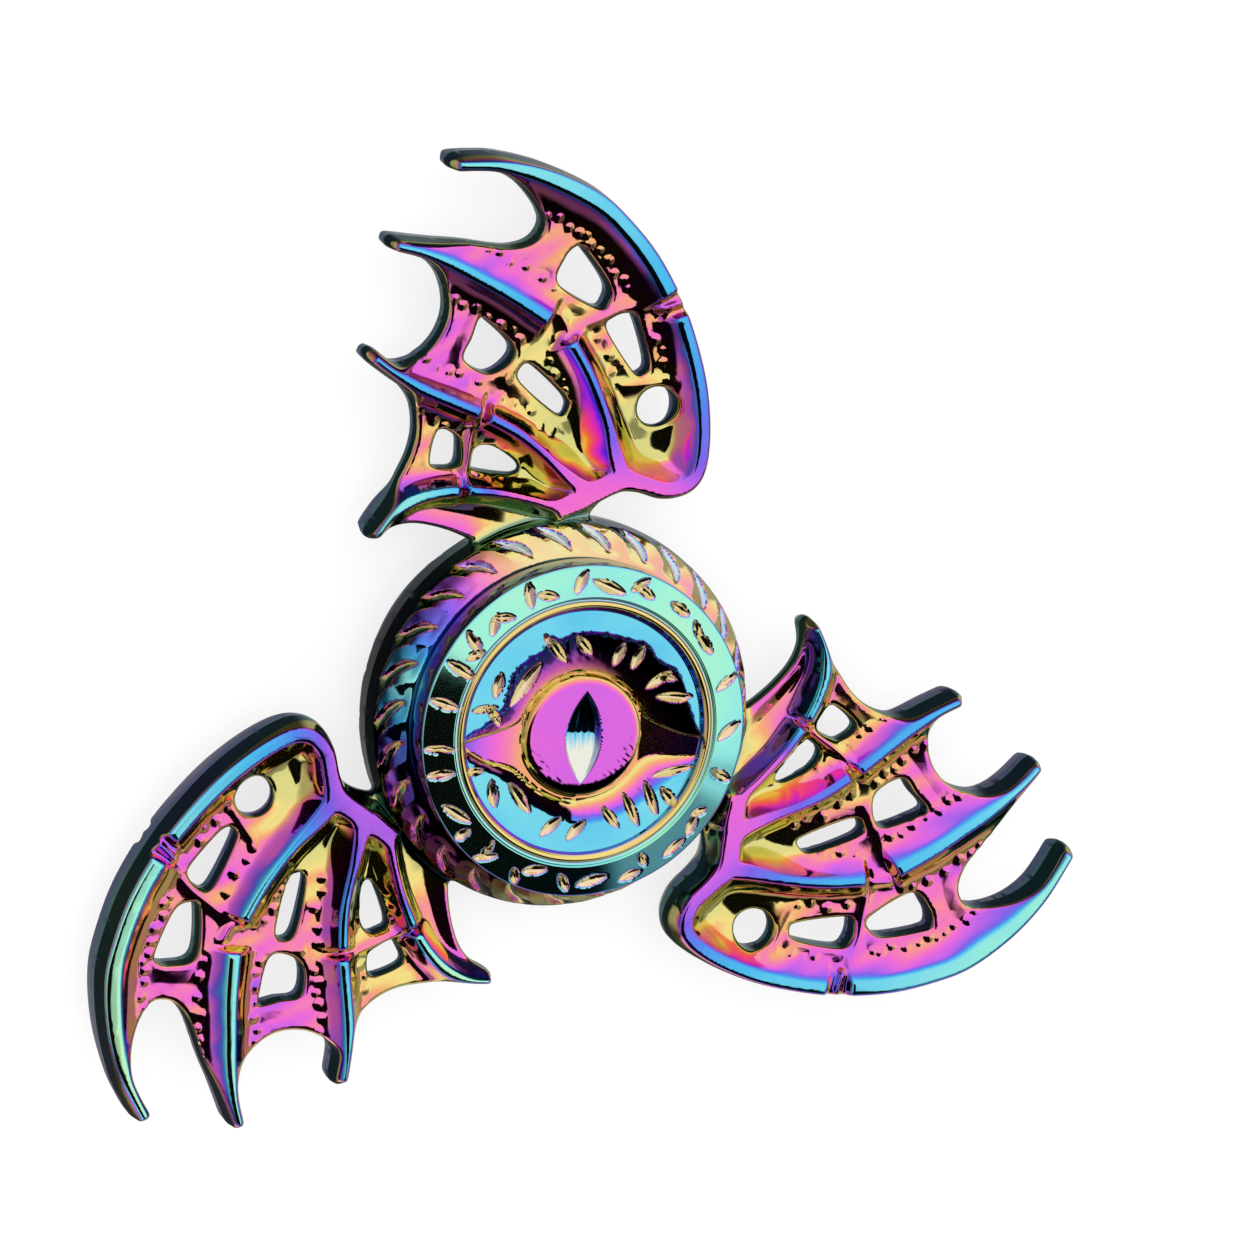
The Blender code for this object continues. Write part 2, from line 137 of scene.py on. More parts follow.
# rows of small warts along the foot of the ribs: rib number, side (+1 left), distance, start, end, pitch
WART_ROWS = [
    (0, -1, 2.2, 0.34, 0.93, 0.78), (2, 1, 1.8, 0.36, 0.97, 0.85), (2, -1, 1.8, 0.34, 0.98, 0.8),
    (3, 1, 1.6, 0.04, 0.5, 0.85), (3, -1, 1.55, 0.0, 0.45, 0.75), (4, 1, 1.55, 0.36, 1.0, 0.8),
    (4, -1, 1.4, 0.38, 0.98, 0.8), (5, 1, 1.4, 0.0, 0.55, 0.85), (5, -1, 1.3, 0.0, 0.35, 0.8),
    (1, -1, 1.75, 0.02, 0.36, 0.85), (7, 1, 0.85, 0.0, 0.4, 0.9),
]
WART_RADIUS = 0.28
WART_HEIGHT = 0.15
CAST_RIPPLE = 0.01

# ---------------------------------------------------------------- the finger caps and their eye
RIM_IN = 8.3
CAP_FILLET = 0.14
RIM_FALL = 0.19  # slope of the flat rim, which falls slightly towards its outer edge
BEAD = (7.85, 0.2)
FLOOR_R = 7.58
FLOOR_Z = CAP_TOP - 0.46
EYE = (-0.12, -0.27, 3.8)
EYE_TOP = CAP_TOP - 0.03
EYE_FLAT = 0.89  # share of the eyeball's radius that is flat; beyond it falls away
EYE_FALL = 20.0
PUPIL = (-0.1, -0.32, 2.85, 1.12)
PUPIL_SLOPE = 0.24  # the pupil is a hollow of two slopes that meet in its middle
UPPER_LID = [(-7.5, -0.75), (-6.6, -0.35), (-5.4, 0.0), (-4.3, 0.5), (-3.85, 1.1), (-3.3, 2.1), (-2.2, 3.1),
             (-0.9, 3.6), (0.6, 3.6), (2.0, 3.1), (3.1, 2.1), (3.7, 1.1), (4.1, 0.7), (5.4, 0.1), (6.6, -0.3), (7.5, -0.5)]
LOWER_LID = [(7.5, -1.45), (6.4, -1.55), (5.4, -1.52), (4.3, -1.7), (3.5, -2.3), (2.7, -3.2), (1.5, -3.95),
             (0, -4.25), (-1.5, -4.1), (-2.8, -3.45), (-3.7, -2.75), (-4.5, -2.2), (-6, -1.8), (-7.05, -1.25)]
LID_OUTLINE = [(-7.7, -0.5), (-6.3, 0.45), (-5.3, 1.45), (-4.95, 2.6), (-4.75, 3.5), (-3.95, 4.4), (-2.9, 5.05),
               (-2.6, 5.85), (-1.8, 5.7), (-1.05, 6.05), (0.55, 6.1), (2.3, 5.75), (3.8, 5.3), (4.35, 4.5),
               (5.7, 3.75), (6.3, 2.7), (6.6, 1.7), (7.1, 0.5), (7.65, -0.5), (7.5, -1.7), (6.7, -2.4), (5.6, -3.2),
               (4.2, -4.4), (2.6, -5.3), (0.6, -5.7), (-1.6, -5.2), (-3.3, -4.3), (-4.9, -2.95), (-6.4, -2.2),
               (-7.5, -1.5)]
BROW = 0.43
LOWER_RIDGE = 0.24
# engraved strokes: x, y, direction in degrees, length, width
STROKES = [
    # around the flat rim
    (-0.9, 9.2, 62, 1.5, 0.5), (0.85, 8.9, -22, 2.1, 0.55), (2.9, 9.0, 30, 1.3, 0.45), (3.15, 8.6, -35, 1.5, 0.45),
    (5.5, 7.5, -33, 1.4, 0.5), (6.7, 6.2, -70, 1.2, 0.4), (7.25, 5.4, -52, 1.6, 0.5), (8.85, 3.0, 35, 1.6, 0.45),
    (9.2, 0.0, 38, 1.7, 0.5), (8.9, -2.75, -28, 1.4, 0.45), (7.7, -5.0, 20, 1.1, 0.4), (7.3, -5.8, 72, 1.4, 0.5),
    (6.3, -7.2, 42, 1.6, 0.45), (4.3, -7.9, -60, 0.9, 0.4), (3.6, -8.9, 25, 1.4, 0.45), (1.2, -9.2, 17, 1.9, 0.5),
    (-0.6, -9.3, -62, 1.2, 0.45), (-2.5, -8.5, 5, 1.5, 0.5), (-3.7, -8.9, -80, 1.1, 0.45),
    (-5.6, -7.2, 60, 1.3, 0.4), (-5.7, -7.7, 8, 1.6, 0.4), (-7.2, -6.3, 35, 1.0, 0.5), (-7.7, -5.0, -30, 2.0, 0.5),
    (-8.9, -2.6, 10, 1.7, 0.45), (-9.1, -1.05, 0, 1.8, 0.4), (-9.0, 1.75, -16, 1.8, 0.5), (-8.1, 3.8, -30, 1.9, 0.5),
    (-7.4, 5.5, -55, 1.5, 0.5), (-7.3, 4.7, 25, 1.1, 0.4), (-6.2, 6.6, 75, 1.3, 0.45), (-5.6, 7.0, 5, 1.2, 0.4),
    (-4.1, 8.4, 100, 1.5, 0.5), (-3.0, 8.35, -5, 1.3, 0.45),
    # on and above the upper lid
    (-3.95, 2.95, 57, 3.0, 0.62), (-5.6, 2.8, 80, 1.5, 0.5), (-6.35, 1.35, 8, 1.5, 0.36), (-5.75, 1.0, -60, 1.3, 0.42),
    (-2.2, 5.1, -48, 2.0, 0.5), (-0.45, 5.35, -45, 1.5, 0.5), (1.85, 4.8, 68, 1.4, 0.5), (3.05, 4.6, 66, 1.5, 0.5),
    (4.5, 3.2, 35, 1.7, 0.5), (5.0, 3.35, -15, 1.2, 0.36), (5.6, 2.1, -3, 2.2, 0.5),
    # on and below the lower lid
    (-5.45, -3.85, -78, 1.6, 0.5), (-3.75, -4.1, -52, 2.2, 0.55), (-6.7, -2.5, 8, 1.1, 0.4), (-1.6, -5.9, 42, 1.6, 0.5),
    (0.0, -6.15, 47, 1.5, 0.5), (2.1, -5.35, -48, 1.6, 0.45), (3.4, -4.9, -62, 2.1, 0.45), (4.6, -4.2, -66, 2.1, 0.45),
    (5.75, -4.15, -48, 1.5, 0.5), (5.9, -2.55, 14, 2.4, 0.4),
]
STROKE_DEPTH = 0.27
STROKE_SCALE = (1.1, 1.3)

# ---------------------------------------------------------------- interference colours
# place on the film scale: colour as seen. The scale starts pale green and closes with dark wall tones, which are
# painted shade, paler at its very end
FILM_SPAN = (-0.15, 1.65)
FILM_COLOURS = [
    (-0.15, (0.78, 0.95, 0.72)), (-0.04, (0.62, 0.94, 0.84)), (0.05, (0.45, 0.83, 0.92)),
    (0.14, (0.30, 0.72, 0.92)), (0.25, (0.34, 0.52, 0.93)), (0.38, (0.50, 0.38, 0.90)),
    (0.50, (0.80, 0.40, 0.90)), (0.60, (0.93, 0.42, 0.82)), (0.70, (0.96, 0.52, 0.66)),
    (0.80, (0.95, 0.66, 0.45)), (0.90, (0.95, 0.86, 0.52)), (1.04, (0.85, 0.83, 0.52)),
    (1.16, (0.38, 0.58, 0.42)), (1.28, (0.24, 0.50, 0.55)), (1.40, (0.34, 0.38, 0.62)), (1.60, (0.72, 0.67, 0.78)),
]


# ================================================================ curves and flat fields
def spline(points, step, closed=False):
    """Catmull-Rom curve through the points, as an array with about this spacing."""
    points = np.array(points, float)
    count = len(points)
    spans = count if closed else count - 1
    out = []
    for i in range(spans):
        ids = np.arange(i - 1, i + 3)
        ids = ids % count if closed else np.clip(ids, 0, count - 1)
        a, b, c, d = points[ids]
        steps = max(2, int(math.ceil(np.linalg.norm(c - b) / step)))
        t = (np.arange(steps) / steps)[:, None]
        out.append(0.5 * (2 * b + (c - a) * t + (2 * a - 5 * b + 4 * c - d) * t ** 2
                          + (3 * b - a - 3 * c + d) * t ** 3))
    if not closed:
        out.append(points[-1:])
    return np.concatenate(out)


def nearest(line, x, y, closed=False):
    """For each (x, y): distance to the line, share of its length there, and side (+1 on its left)."""
    ends = np.roll(line, -1, axis=0) if closed else line[1:]
    starts = line if closed else line[:-1]
    lengths = np.linalg.norm(ends - starts, axis=1)
    before = np.concatenate([[0], np.cumsum(lengths)])
    best = np.full(x.shape, 1e9)
    share = np.zeros(x.shape)
    side = np.ones(x.shape)
    for k, (a, b, length) in enumerate(zip(starts, ends, lengths)):
        ux, uy = (b - a) / length
        px, py = x - a[0], y - a[1]
        along = np.clip(px * ux + py * uy, 0, length)
        dx, dy = px - along * ux, py - along * uy
        found = dx * dx + dy * dy
        closer = found < best
        best = np.where(closer, found, best)
        share = np.where(closer, (before[k] + along) / before[-1], share)
        side = np.where(closer, np.sign(ux * py - uy * px), side)
    return np.sqrt(best), share, side


def inside(line, x, y):
    """True where (x, y) lies inside the closed line."""
    result = np.zeros(x.shape, bool)
    for (ax, ay), (bx, by) in zip(line, np.roll(line, -1, axis=0)):
        crosses = (ay > y) != (by > y)
        if crosses.any():
            at = ax + (y - ay) * (bx - ax) / (by - ay if by != ay else 1e-12)
            result ^= crosses & (x < at)
    return result


def signed(line, x, y):
    """Distance to a closed line, negative inside."""
    distance = nearest(line, x, y, closed=True)[0]
    return np.where(inside(line, x, y), -distance, distance)


def smoothstep(low, high, value):
    t = np.clip((value - low) / (high - low), 0, 1)
    return t * t * (3 - 2 * t)


def smooth_max(a, b, k):
    """The larger of two fields, with the crease between them rounded over a width k."""
    h = np.clip(0.5 + 0.5 * (a - b) / k, 0, 1)
    return b + (a - b) * h + k * h * (1 - h)


def smooth_min(a, b, k):
    return -smooth_max(-a, -b, k)


def blurred(field, sigma):
    """Gaussian blur of a grid, sigma in cells."""
    reach = int(3 * sigma + 1)
    weights = np.exp(-0.5 * (np.arange(-reach, reach + 1) / sigma) ** 2)
    weights /= weights.sum()
    for axis in (0, 1):
        padded = np.pad(field, [(reach, reach) if i == axis else (0, 0) for i in (0, 1)], mode="edge")
        size = field.shape[axis]
        field = sum(w * np.take(padded, range(k, k + size), axis=axis) for k, w in enumerate(weights))
    return field


class Sheet:
    """A field on a regular grid that can be read anywhere with cubic interpolation."""

    def __init__(self, values, x0, y0, step):
        self.values, self.x0, self.y0, self.step = values, x0, y0, step

    def read(self, x, y):
        gx = (x - self.x0) / self.step
        gy = (y - self.y0) / self.step
        nx, ny = self.values.shape
        gx = np.clip(gx, 1, nx - 3.001)
        gy = np.clip(gy, 1, ny - 3.001)
        ix, iy = gx.astype(int), gy.astype(int)
        wx, wy = self.weights(gx - ix), self.weights(gy - iy)
        total = 0
        for i in range(4):
            row = 0
            for j in range(4):
                row = row + wy[j] * self.values[ix + i - 1, iy + j - 1]
            total = total + wx[i] * row
        return total

    @staticmethod
    def weights(t):
        return (
            ((-0.5 * t + 1) * t - 0.5) * t,
            (1.5 * t - 2.5) * t * t + 1,
            ((-1.5 * t + 2) * t + 0.5) * t,
            (0.5 * t - 0.5) * t * t,
        )


# ================================================================ the wing's relief
def rib_fall(line_points, tops, left, right, x, y):
    """How far down a rib a point is: 0 on its flat top, 1 at the foot of its slopes, more beyond."""
    line = spline(line_points, 0.3)
    run = 3.0
    first = line[0] + run * (line[0] - line[1]) / np.linalg.norm(line[0] - line[1])
    last = line[-1] + run * (line[-1] - line[-2]) / np.linalg.norm(line[-1] - line[-2])
    full = np.linalg.norm(np.diff(line, axis=0), axis=1).sum()
    distance, share, side = nearest(np.concatenate([[first], line, [last]]), x, y)
    along = share * (full + 2 * run) - run
    beyond = np.maximum(np.maximum(-along, along - full), 0)
    share = np.clip(along / full, 0, 1)
    start, middle, end = tops
    top = np.where(share < 0.5, start + (middle - start) * smoothstep(0, 0.5, share),
                   middle + (end - middle) * smoothstep(0.5, 1, share))
    across = np.maximum(distance - top, 0) / np.where(side > 0, left, right)
    return np.hypot(beyond / END_SLOPE, across)


def concave(down):
    """Rise of a slope that is steep at its top and runs out at its foot: 1 where down is 0, 0 from 1 on."""
    return (1 - np.clip(down, 0, 1)) ** 1.7


def wart_places():
    """Middle and radius of each small wart beside the ribs."""
    places = []
    for number, side, off, start, end, pitch in WART_ROWS:
        line = spline(RIBS[number][0], 0.3)
        steps = np.linalg.norm(np.diff(line, axis=0), axis=1)
        along = np.concatenate([[0], np.cumsum(steps)])
        count = int((end - start) * along[-1] / pitch)
        for i in range(count):
            wobble = math.sin(5.1 * i + number)
            place = (start + (end - start) * (i + 0.5 + 0.2 * wobble) / count) * along[-1]
            here = np.array([np.interp(place, along, line[:, k]) for k in (0, 1)])
            ahead = np.array([np.interp(place + 0.1, along, line[:, k]) for k in (0, 1)])
            ux, uy = (ahead - here) / max(np.linalg.norm(ahead - here), 1e-9)
            out = off + 0.14 * math.sin(2.3 * i + 2 * number)
            places.append((here[0] - side * out * uy, here[1] + side * out * ux,
                           WART_RADIUS * (1 + 0.22 * math.sin(3.3 * i + 1.7 * number))))
    return places


def ripple(x, y, scale, seed):
    """A smooth, repeatable wobble between about -1 and 1 over the plane."""
    rng = np.random.default_rng(seed)
    total = 0
    for _ in range(9):
        turn, phase = rng.uniform(0, math.tau, 2)
        wave = scale * rng.uniform(0.7, 1.4)
        total = total + np.sin((x * math.cos(turn) + y * math.sin(turn)) * math.tau / wave + phase)
    return total / 4


def wing_fields():
    """The first wing: how far a point is outside its edges, and the height of its surface."""
    x0, x1, y0, y1 = WING_BOX
    x, y = np.meshgrid(np.arange(x0, x1, GRID), np.arange(y0, y1, GRID), indexing="ij")
    edge = signed(spline(WING_OUTLINE, 0.2, closed=True), x, y)
    edge = blurred(edge, 0.2 / GRID)
    hx, hy, radius = ROUND_HOLE
    holes = np.hypot(x - hx, y - hy) - radius
    for outline in HOLES:
        holes = np.minimum(holes, signed(spline(outline, 0.2, closed=True), x, y))
    holes = blurred(holes, 0.1 / GRID)
    edge = np.maximum(edge, -holes)

    reach = np.hypot(x, y)
    web = WEB_INNER + (WEB_OUTER - WEB_INNER) * smoothstep(14, 27, reach)
    web = web + 0.05 * smoothstep(1.6, 0.2, -edge)
    for (cx, cy), turn, long_half, wide_half, depth in SPOONS:
        c, s = math.cos(math.radians(turn)), math.sin(math.radians(turn))
        a = ((x - cx) * c + (y - cy) * s) / long_half
        b = ((y - cy) * c - (x - cx) * s) / wide_half
        web = web - depth * np.exp(-(a * a + b * b))
    web = web + CAST_RIPPLE * ripple(x, y, 2.6, 4) + 0.4 * CAST_RIPPLE * ripple(x, y, 0.9, 5)
    for wx, wy, size in wart_places():
        near = np.hypot(x - wx, y - wy) / size
        web = web + WART_HEIGHT * np.clip(1 - near * near, 0, 1) ** 0.8
    for points, top, slope, tall in BARS:
        web = web + np.maximum(tall - web, 0) * concave(rib_fall(points, (top, top, top), slope, slope, x, y))
    fall = np.full(x.shape, 9.0)
    for points, tops, left, right in RIBS:
        fall = smooth_min(fall, rib_fall(points, tops, left, right, x, y), 0.45)
    height = web + (HALF_THICK - web) * concave(fall)
    height = blurred(height, 0.09 / GRID)
    return Sheet(edge, x0, y0, GRID), Sheet(height, x0, y0, GRID)


def turned_back(x, y, number):
    """A point of wing `number`, turned back to where it lies on the first wing."""
    angle = -math.tau * number / WINGS
    c, s = math.cos(angle), math.sin(angle)
    return c * x - s * y, s * x + c * y


# ================================================================ the rotor as one solid
def flute_place(x, y, z):
    """Where a point lies on the ring's rounded edge: how far up it, and how far from the nearest flute's line."""
    r = np.hypot(x, y)
    climb = np.arctan2(np.abs(z) - (RING_HALF - RING_EDGE), r - (RING_R - RING_EDGE)) / (math.pi / 2)
    climb = np.where(np.abs(z) > RING_HALF - RING_EDGE, climb, 0)
    lean = FLUTE_BEND * (1 - np.clip(climb, 0, 1)) ** 2
    pitch = math.tau / FLUTES
    around = np.arctan2(y, x) - lean / RING_R
    share = around / pitch - np.round(around / pitch)
    slant = 2 * FLUTE_BEND * (1 - np.clip(climb, 0, 1)) / (RING_EDGE * math.pi / 2)
    off = share * pitch * 11.0 / np.sqrt(1 + slant * slant)
    return climb, off, share


def flute_cut(climb, off):
    """Depth of a flute, 0 to 1: a leaf with one gentle and one steep side."""
    leaf = np.sin(math.pi * np.clip(climb / 0.88, 0, 1)) ** 0.7
    side = np.where(off > 0, off / FLUTE_WIDE, -off / FLUTE_STEEP)
    return smoothstep(0, 1, leaf - side) * smoothstep(0.0, 0.06, climb)


def ring_field(x, y, z):
    """Distance-like field of the ring: a thick washer whose outer edges carry leaf-shaped flutes."""
    r = np.hypot(x, y)
    middle, half = (RING_R + RING_BORE) / 2, (RING_R - RING_BORE) / 2
    qr = np.abs(r + DRAFT * np.abs(z) - middle) - (half - RING_EDGE)
    qz = np.abs(z) - (RING_HALF - RING_EDGE)
    round_edge = np.hypot(np.maximum(qr, 0), np.maximum(qz, 0)) + np.minimum(np.maximum(qr, qz), 0) - RING_EDGE
    inner = np.maximum(np.maximum(RING_BORE - r, np.abs(z) - RING_HALF), r - middle)
    body = np.where(r < middle, inner, round_edge)
    climb, off, share = flute_place(x, y, z)
    crown = (2 * share) ** 2
    leaf = smoothstep(0.05, 0.3, climb) * smoothstep(0.95, 0.75, climb)
    return body + FLUTE_DEPTH * flute_cut(climb, off) + FLUTE_CROWN * (1 - crown) * leaf


def rotor_grid(edge, height, voxel, low, high):
    """The rotor's field on a 3-D grid. Each wing's flat fields are read once for all heights."""
    xs, ys, zs = (np.arange(low[k], high[k], voxel) for k in range(3))
    x, y = np.meshgrid(xs, ys, indexing="ij")
    sides = []
    for number in range(WINGS):
        u, v = turned_back(x, y, number)
        x0, x1, y0, y1 = WING_BOX
        within = (u > x0) & (u < x1) & (v > y0) & (v < y1)
        outside = np.full(x.shape, 5.0)
        tall = np.zeros(x.shape)
        outside[within] = edge.read(u[within], v[within])
        tall[within] = height.read(u[within], v[within])
        sides.append((outside, tall))
    field = np.empty((len(xs), len(ys), len(zs)), np.float32)
    for k, z in enumerate(zs):
        wing = np.full(x.shape, 5.0)
        for outside, tall in sides:
            wing = np.minimum(wing, smooth_max(outside + DRAFT * (abs(z) - 1), abs(z) - tall, 0.3))
        ring = ring_field(x, y, z)
        field[:, :, k] = np.where(ring < -0.6, np.minimum(wing, ring), smooth_min(wing, ring, 0.5))
    return field


def gradient(function, points, step=0.02):
    """Numerical gradient of a field at points, an (n, 3) array."""
    slopes = []
    for axis in range(3):
        offset = np.zeros(3)
        offset[axis] = step
        ahead = function(*(points + offset).T)
        behind = function(*(points - offset).T)
        slopes.append((ahead - behind) / (2 * step))
    return np.stack(slopes, axis=1)


def mesh_from(name, points, faces):
    """A mesh from points in millimetres and faces that all have the same number of corners."""
    faces = np.asarray(faces, np.int32)
    corners = faces.shape[1]
    mesh = bpy.data.meshes.new(name)
    mesh.vertices.add(len(points))
    mesh.vertices.foreach_set("co", (np.asarray(points) * MM).astype(np.float32).ravel())
    mesh.loops.add(faces.size)
    mesh.loops.foreach_set("vertex_index", faces.ravel())
    mesh.polygons.add(len(faces))
    mesh.polygons.foreach_set("loop_start", np.arange(0, faces.size, corners, dtype=np.int32))
    mesh.polygons.foreach_set("loop_total", np.full(len(faces), corners, np.int32))
    mesh.update(calc_edges=True)
    mesh.validate()
    return mesh


def add_object(name, mesh):
    obj = bpy.data.objects.new(name, mesh)
    bpy.context.scene.collection.objects.link(obj)
    return obj


def points_of(mesh):
    flat = np.empty(len(mesh.vertices) * 3, np.float32)
    mesh.vertices.foreach_get("co", flat)
    return flat.reshape(-1, 3).astype(float) / MM


def thinned(mesh, most_faces):
    """The mesh as triangles, with no more than this many."""
    obj = add_object("thinning", mesh)
    corners = obj.modifiers.new("triangles", "TRIANGULATE")
    corners.quad_method = "SHORTEST_DIAGONAL"
    count = sum(len(p.vertices) - 2 for p in mesh.polygons)
    if count > most_faces:
        step = obj.modifiers.new("fewer", "DECIMATE")
        step.ratio = most_faces / count
    graph = bpy.context.evaluated_depsgraph_get()
    result = bpy.data.meshes.new_from_object(obj.evaluated_get(graph))
    bpy.data.objects.remove(obj)
    return result


def set_shape(mesh, points, normals):
    """Writes vertex places and smooth normals."""
    mesh.vertices.foreach_set("co", (points * MM).astype(np.float32).ravel())
    mesh.update()
    mesh.shade_smooth()
    mesh.normals_split_custom_set_from_vertices(normals.astype(np.float32))


def set_value(mesh, name, values):
    layer = mesh.attributes.new(name, "FLOAT", "POINT")
    layer.data.foreach_set("value", np.asarray(values, np.float32))


def rotor_function(edge, height):
    """The rotor's field for scattered points, each read only on the wing it lies on."""

    def field(x, y, z):
        angle = np.arctan2(y, x)
        x0, x1, y0, y1 = WING_BOX
        wing = np.full(x.shape, 5.0)
        for number in range(WINGS):
            u, v = turned_back(x, y, number)
            within = (u > x0) & (u < x1) & (v > y0) & (v < y1)
            level = np.abs(z[within])
            one = smooth_max(edge.read(u[within], v[within]) + DRAFT * (level - 1),
                             level - height.read(u[within], v[within]), 0.3)
            wing[within] = np.minimum(wing[within], one)
        ring = ring_field(x, y, z)
        return np.where(ring < -0.6, np.minimum(wing, ring), smooth_min(wing, ring, 0.5))

    return field


def slow_noise(points, scale, seed):
    """A smooth, repeatable wobble between about -1 and 1."""
    rng = np.random.default_rng(seed)
    total = np.zeros(len(points))
    for _ in range(6):
        direction = rng.normal(size=3)
        total += np.sin(points @ direction / scale + rng.uniform(0, math.tau))
    return total / 3


def rotor_film(points, normals):
    """Place on the film scale, cyan on the ribs and down to gold in the hollows, and the painted light over it: painted
    highlights and painted shade.
    """
    x, y, z = points.T
    reach = np.hypot(x, y)
    crest = np.interp(reach, [13.5, 14.5, 16, 18, 21, 26, 31, 35], [0.55, 0.52, 0.38, 0.24, 0.15, 0.07, 0.0, -0.05])
    turn = np.arctan2(y, x)
    crest = crest + 0.07 * np.sin(turn) + 0.05 * np.cos(turn)
    depth = np.interp(np.abs(z), [0.2, 0.45, 0.65, 0.85, 1.05, 1.3, 1.6, 1.85],
                      [1.05, 0.94, 0.82, 0.69, 0.61, 0.53, 0.42, 0.24])
    high = smoothstep(1.72, 1.96, np.abs(z))
    warm = 0.08 * smoothstep(28, 18, reach) + 0.17 * smoothstep(-8, 0, x) * smoothstep(6, 14, y)
    claw = np.zeros(len(x))
    for number in range(WINGS):
        u, v = turned_back(x, y, number)
        claw = np.maximum(claw, smoothstep(-4, -7, u) * smoothstep(15.5, 13.8, v) * smoothstep(8.5, 9.5, v))
    crest = crest - 0.33 * claw
    warm = warm * smoothstep(0.75, 0.93, np.abs(normals[:, 2]))
    depth = depth + (warm + 0.12 * slow_noise(points, 0.9, 3)) * (1 - claw) - 0.24 * claw
    # slopes that face south and south-east get a film colour that stands in for the dim glow they reflect: a painted
    # reflection
    away = smoothstep(0.06, 0.3, 0.5 * normals[:, 0] - 0.85 * normals[:, 1])
    painted_glow = np.maximum(1.4 * np.abs(normals[:, 2]) - 0.62, 0.46)
    steepness = smoothstep(0.7, 1.1, np.abs(z))
    depth = depth + (painted_glow - depth) * away * steepness
    wing = np.minimum(depth + (crest - depth) * high, 1.02)
    # steep walls take the dark wall tones: painted shade, paler towards the bottom
    steep = smoothstep(0.45, 0.12, np.abs(normals[:, 2]))
    wall = 1.30 + 0.08 * slow_noise(points, 4.0, 5) + 0.2 * smoothstep(0.2, -1.8, z)
    wing = wing + (wall - wing) * steep
    angle = np.degrees(np.arctan2(y, x)) % 360
    marks = [0, 45, 85, 110, 135, 165, 195, 220, 250, 300, 360]
    ring = np.interp(angle, marks, [0.72, 0.68, 0.88, 0.86, 0.5, 0.05, 0.25, 0.5, 0.64, 0.6, 0.72])
    ring = ring + 0.05 * slow_noise(points, 2.0, 8)
    climb, off, _ = flute_place(x, y, z)
    cut = flute_cut(climb, off)
    in_flute = smoothstep(0.02, 0.15, cut)
    flute = np.interp(angle, marks, [0.3, 0.1, 0.02, 0.05, 0.64, 0.64, 0.5, 0.4, 0.42, 0.45, 0.3])
    ring = ring + (flute - ring) * in_flute
    # the ring's upright walls and its middle band take the same painted shade
    upright = smoothstep(0.6, 0.35, np.abs(normals[:, 2]))
    ring = ring + (wall - ring) * np.maximum(smoothstep(1.3, 0.9, np.abs(z)), upright)
    # painted shade on the ring: dark over its sloping outer part from north-west round to south, darker still to the
    # south-west, and dark lines along the flute edges
    outer = smoothstep(0.84, 0.6, np.abs(normals[:, 2]) + 0.05 * slow_noise(points, 0.35, 9))
    dark = outer * np.interp(angle, marks, [0, 0, 0, 0.3, 0.85, 0.9, 0.9, 0.9, 0.85, 0.4, 0])
    dark = dark * smoothstep(2.9, 2.5, np.abs(z)) * (1 - in_flute)
    dark = np.maximum(dark, (1 - in_flute) * np.interp(angle, marks, [0, 0, 0, 0, 0, 0, 0.4, 0.85, 0.85, 0.3, 0]))
    outline = smoothstep(0.0, 0.03, cut) * smoothstep(0.22, 0.1, cut)
    dark = np.maximum(dark, 0.75 * outline)
    on_ring = smoothstep(12.7, 11.95, reach)
    # pale painted highlights on the ring's east and north, stronger in the flutes
    painted_highlight = (1 - outline) * (0.25 + 0.45 * in_flute) * np.interp(angle, marks, [0.5, 0.8, 1, 1, 0, 0, 0, 0, 0, 0.3, 0.5])
    # painted shade on the top wing's slopes that face south
    shade = away * steepness * np.interp(angle, [50, 60, 150, 165], [0, 0.65, 0.65, 0])
    return wing + (ring - wing) * on_ring, (painted_highlight - dark) * on_ring - shade * (1 - on_ring)


def make_rotor():
    edge, height = wing_fields()
    voxel = 0.13
    margin = 0.8
    low = np.array(wing_low) - margin
    high = np.array(wing_high) + margin
    field = rotor_grid(edge, height, voxel, low, high)
    band = 3 * voxel
    grid = openvdb.FloatGrid(band)
    grid.copyFromArray(np.clip(field, -band, band))
    points, quads = grid.convertToQuads(0.0)
    points = points * voxel + low
    mesh = mesh_from("wing_frame", points, quads)
    mesh = thinned(mesh, 195_000)
    points = points_of(mesh)
    function = rotor_function(edge, height)
    for _ in range(2):
        slope = gradient(function, points)
        size = np.maximum((slope * slope).sum(1), 0.25)
        step = function(*points.T) / size
        points -= np.clip(step, -0.05, 0.05)[:, None] * slope
    slope = gradient(function, points)
    normals = slope / np.linalg.norm(slope, axis=1)[:, None]
    set_shape(mesh, points, normals)
    film, painted_light = rotor_film(points, normals)
    set_value(mesh, "film", film)
    # painted highlights above 0 and painted shade below, read by the material
    set_value(mesh, "painted_light", painted_light)
    return add_object("rotor_casting", mesh)


# ================================================================ the caps
def lens_cut(x, y, stroke):
    """One engraved stroke, a lens-shaped hollow deepest in the middle: its depth, and 1 within it."""
    cx, cy, turn, length, width = stroke
    length, width = length * STROKE_SCALE[0], width * STROKE_SCALE[1]
    c, s = math.cos(math.radians(turn)), math.sin(math.radians(turn))
    a = (x - cx) * c + (y - cy) * s
    b = (y - cy) * c - (x - cx) * s
    room = 1 - (2 * a / length) ** 2 - (np.hypot(b, 0.1 * width) - 0.1 * width) / (0.42 * width)
    return STROKE_DEPTH * (np.clip(room, 0, 1) + 0.25 * smoothstep(0, 0.15, room)), smoothstep(-0.03, 0.08, room)


